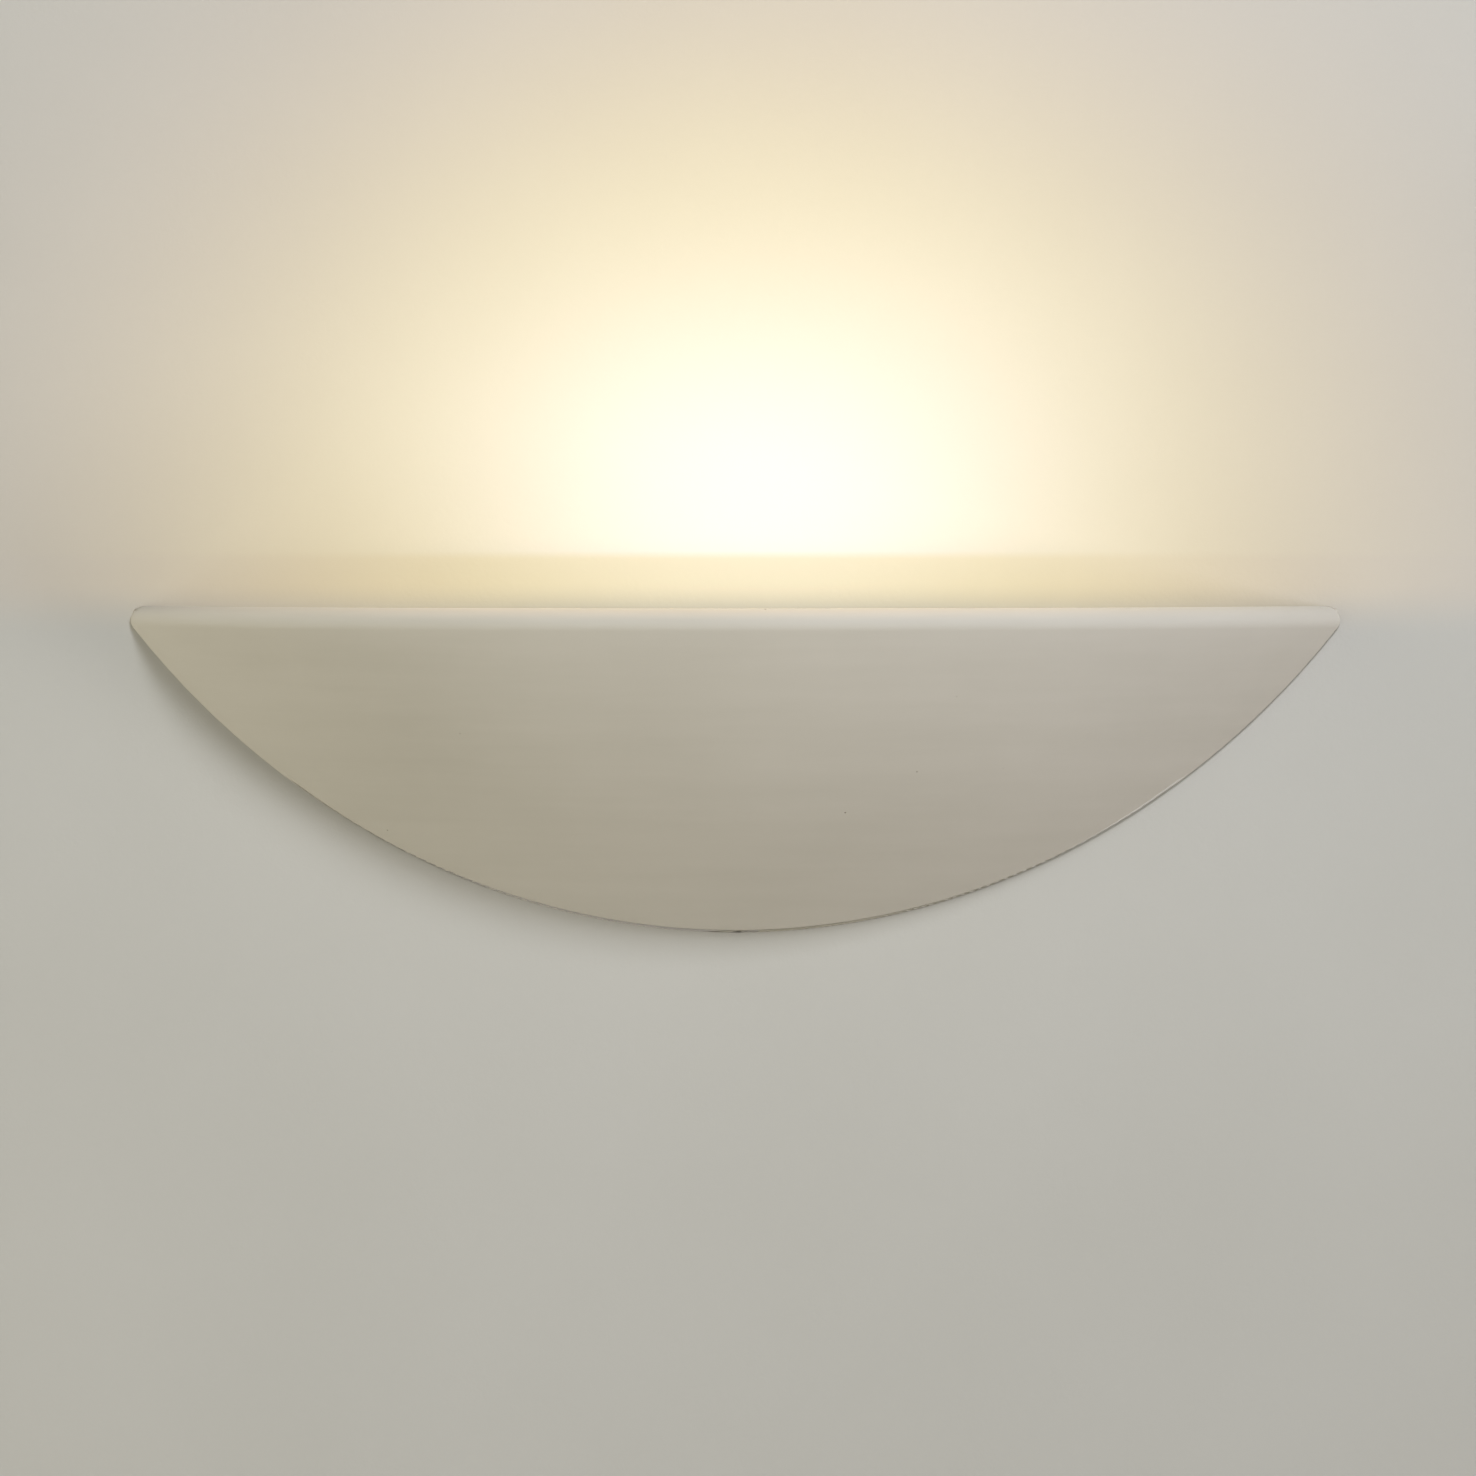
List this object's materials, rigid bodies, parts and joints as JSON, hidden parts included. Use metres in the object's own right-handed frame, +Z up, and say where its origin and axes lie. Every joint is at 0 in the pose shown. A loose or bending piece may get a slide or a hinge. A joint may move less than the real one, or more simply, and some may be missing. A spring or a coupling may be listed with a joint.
{
  "type": "wall sconce",
  "caption": "Crescent ceramic bowl, open at the back and top, screwed over a wall bracket that carries a horizontal lamp and throws its light up the wall.",
  "frame": {"origin": "middle of the two wall fixings, on the wall's face", "axes": "+X along the wall to the right seen from the room, +Y into the wall, +Z up"},
  "size_m": [0.3806, 0.0964, 0.1025],
  "materials": {
    "bisque_ceramic": "matt unglazed, faintly pitted",
    "plated_steel": "zinc plated",
    "screw_steel": "bright plated",
    "nickel_brass": "turned brass",
    "contact_metal": "nickel plated",
    "shield_aluminium": "bright rolled sheet",
    "steatite": "fired steatite, satin",
    "block_ceramic": "white glaze",
    "lamp_glass": "clear quartz",
    "cap_ceramic": "matt steatite",
    "tungsten": "glowing tungsten coil, emissive",
    "support_wire": "drawn tungsten wire",
    "grommet_rubber": "matt black",
    "sleeve_white": "silicone and glass fibre sleeve",
    "sleeve_earth": "green and yellow sleeve",
    "fibre_washer": "red vulcanised fibre",
    "thumb_steel": "knurled, nickel plated"
  },
  "bodies": {
    "wall_unit": {"wall_bracket": "plated_steel", "rivet_nuts": "plated_steel", "cable_grommet": "grommet_rubber", "terminal_block": "block_ceramic", "terminal_tubes": "nickel_brass", "terminal_screws": "screw_steel", "terminal_block_screw": "screw_steel", "earth_washer": "nickel_brass", "earth_lug": "contact_metal", "earth_screw": "nickel_brass", "lamp_bracket": "plated_steel", "lamp_bracket_screws": "screw_steel", "heat_shield": "shield_aluminium", "shield_spacers": "plated_steel", "shield_screws": "screw_steel", "small_nuts": "screw_steel", "large_nuts": "screw_steel", "lampholder_left": "steatite", "lampholder_right": "steatite", "holder_screws": "screw_steel", "holder_nuts": "screw_steel", "contact_fixed": "contact_metal", "contact_backings": "contact_metal", "live_wire": "sleeve_white", "neutral_wire": "sleeve_white", "earth_wire": "sleeve_earth", "contact_spring": "screw_steel"},
    "sprung_contact": {"contact_plunger": "contact_metal"},
    "lamp": {"lamp_tube": "lamp_glass", "lamp_caps": "cap_ceramic", "lamp_contacts": "contact_metal", "filament": "tungsten", "filament_supports": "support_wire"},
    "shell": {"ceramic_shell": "bisque_ceramic", "thumb_washers": "fibre_washer"},
    "left_screw": {"thumb_screw_left": "thumb_steel"},
    "right_screw": {"thumb_screw_right": "thumb_steel"}
  },
  "joints": [
    {"name": "shell_pull_off", "type": "slide", "parent": "wall_unit", "child": "shell", "axis": [0, -1, 0], "range_m": [0, 0.12]},
    {"name": "thumb_screw_left_turn", "type": "hinge", "parent": "shell", "child": "left_screw", "pos_m": [-0.098, -0.0186, 0.015], "axis": [0, -1, 0], "continuous": true},
    {"name": "thumb_screw_right_turn", "type": "hinge", "parent": "shell", "child": "right_screw", "pos_m": [0.098, -0.0186, 0.015], "axis": [0, -1, 0], "continuous": true},
    {"name": "lamp_shift", "type": "slide", "parent": "wall_unit", "child": "lamp", "axis": [1, 0, 0], "range_m": [0, 0.003], "stiffness_N_per_m": 500, "springref_m": -0.003},
    {"name": "contact_plunger_slide", "type": "slide", "parent": "wall_unit", "child": "sprung_contact", "axis": [1, 0, 0], "range_m": [0, 0.003], "stiffness_N_per_m": 500, "springref_m": -0.003, "deforming": ["contact_spring"]}
  ],
  "couplings": [
    {"joint": "contact_plunger_slide", "follows": "lamp_shift", "ratio": 1}
  ]
}
